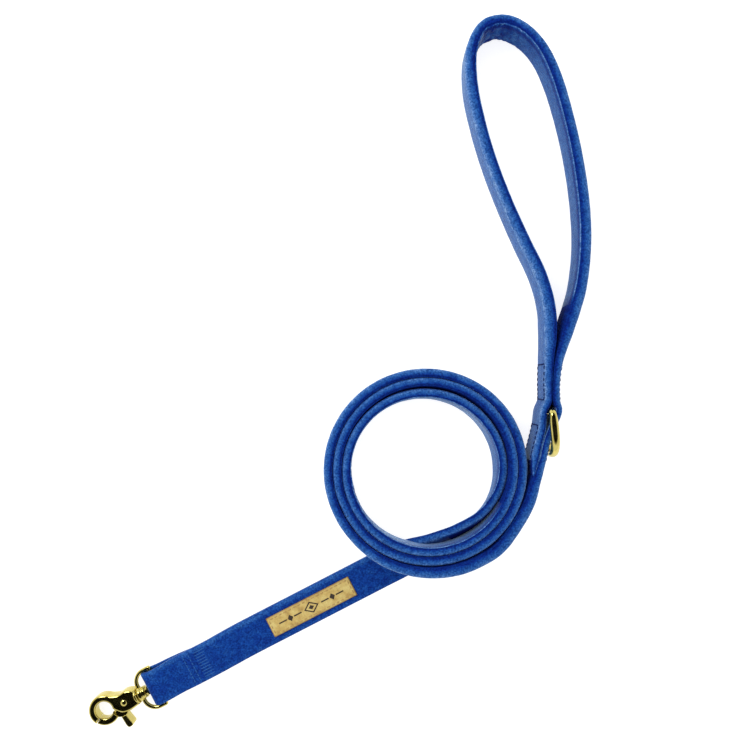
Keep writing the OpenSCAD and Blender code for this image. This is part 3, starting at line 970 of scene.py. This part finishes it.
def label_ornament():
    """Dark diamonds and short lines on the label: a plain generic ornament."""
    half = 0.36
    depth = 0.4
    outlines = [[(-4.4, 0), (0, 3.3), (4.4, 0), (3.3, 0), (0, 2.45), (-3.3, 0)],
                [(-4.4, 0), (-3.3, 0), (0, -2.45), (3.3, 0), (4.4, 0), (0, -3.3)],
                [(-1.7, 0), (0, 1.25), (1.7, 0), (0, -1.25)]]
    for side in (-1, 1):
        for x0, x1 in ((6, 10.6), (15, 19.6)):
            outlines.append([(side * x0, half), (side * x1, half),
                             (side * x1, -half), (side * x0, -half)])
        outlines.append([(side * 11.2, 0), (side * 12.8, 1.9), (side * 14.4, 0), (side * 12.8, -1.9)])
    points = []
    faces = []
    top = LABEL_TOP + 0.05
    for outline in outlines:
        base = len(points)
        count = len(outline)
        for z in (top, top - depth):
            points += [in_snap(LABEL_X + x, LABEL_Y + y, z) for x, y in outline]
        faces += [(base + j, base + (j + 1) % count, base + count + (j + 1) % count, base + count + j)
                  for j in range(count)]
        faces.append(tuple(range(base, base + count)))
        faces.append(tuple(range(base + 2 * count - 1, base + count - 1, -1)))
    piece = add_mesh("label_ornament", points, faces, MARK, "lead")
    split_edges(piece, 40)


# --- floor, light ---

def add_floor():
    """Plain pale table top, a hair below the part."""
    material, _, _, shader = new_material("table")
    shader.inputs["Base Color"].default_value = (0.5, 0.5, 0.5, 1)
    shader.inputs["Emission Color"].default_value = (1, 1, 1, 1)
    shader.inputs["Emission Strength"].default_value = 0.76
    shader.inputs["Roughness"].default_value = 0.9
    shader.inputs["Specular IOR Level"].default_value = 0.1
    mesh = bpy.data.meshes.new("table")
    half = 3
    top = -0.0002
    corners = [(-half, -half, top), (half, -half, top), (half, half, top), (-half, half, top)]
    mesh.from_pydata(corners, [], [(0, 1, 2, 3)])
    mesh.materials.append(material)
    table = bpy.data.objects.new("table", mesh)
    bpy.context.collection.objects.link(table)


def add_light():
    """White surroundings with a dark patch overhead that only reflections see, and a soft lamp."""
    world = bpy.data.worlds.new("studio")
    bpy.context.scene.world = world
    world.use_nodes = True
    nodes = world.node_tree.nodes
    links = world.node_tree.links
    coords = nodes.new("ShaderNodeTexCoord")
    split = nodes.new("ShaderNodeSeparateXYZ")
    links.new(coords.outputs["Generated"], split.inputs["Vector"])
    ramp = ramp_node(nodes, links, split.outputs["Z"], [
        (0.0, (1, 1, 1)), (0.5, (1, 1, 1)), (0.6, (0.36, 0.36, 0.36)), (0.72, (0.004, 0.004, 0.004))])
    rays = nodes.new("ShaderNodeLightPath")
    mirror = nodes.new("ShaderNodeMix")
    mirror.data_type = "RGBA"
    mirror.inputs["A"].default_value = (1, 1, 1, 1)
    links.new(rays.outputs["Is Glossy Ray"], mirror.inputs["Factor"])
    links.new(ramp.outputs["Color"], mirror.inputs["B"])
    links.new(mirror.outputs["Result"], nodes["Background"].inputs["Color"])
    nodes["Background"].inputs["Strength"].default_value = 1.05
    data = bpy.data.lights.new("soft_lamp", "AREA")
    data.shape = "DISK"
    data.size = 0.5
    data.energy = 5
    lamp = bpy.data.objects.new("soft_lamp", data)
    lamp.location = (-0.55, 0.45, 0.7)
    lamp.rotation_euler = (Vector((0, 0, 0)) - lamp.location).to_track_quat("-Z", "Y").to_euler()
    bpy.context.collection.objects.link(lamp)


# --- build ---

whole, join = strap_route()
loop_part = whole.part(0, join)
tail_part = whole.part(join, len(whole.middles) - 1)
strap_loop, loop_path = sweep("strap_loop", loop_part, 1.5, loop_pucker, strap_swell)
strap_tail, tail_path = sweep("strap_tail", tail_part, 1.2, lambda s: coil_pucker(s + join),
                              lambda s: strap_swell(s + join))
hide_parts("handle_sleeve", "handle_webbing", "coil_sleeve")
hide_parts("tail_sleeve", "tail_webbing")
strap_fold, _ = sweep("strap_fold", fold_route(), 1.0)
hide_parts("fold_sleeve", "fold_webbing")

hook_piece = snap_hook()
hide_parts("hook_body")
lever_piece = snap_lever()
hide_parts("thumb_lever")
bead_piece = lathe("swivel_bead", BEAD, 40, "swivel")
collar_piece = lathe("hook_collar", COLLAR, 40, "hook")

handle_ring()
CAD_METALS = {"swivel_eye": GOLD, "swivel_stud": GOLD, "lever_pin": GOLD, "lever_spring": STEEL}
for node, metal in CAD_METALS.items():
    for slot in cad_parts[node].material_slots:
        slot.material = metal

box_stitches("neck_stitches_upper", whole, [(4.97, 6.8, 7), (28.2, 30, 7)], "neck_stitch_upper")
box_stitches("neck_stitches_lower", whole, [(0.6, 3.1, 8), (32.4, 34.1, 6)], "neck_stitch_lower")
tail_stitches(whole)
label_patch()
label_stitches()
label_ornament()

add_floor()
add_light()
bpy.context.scene.view_settings.view_transform = "Standard"
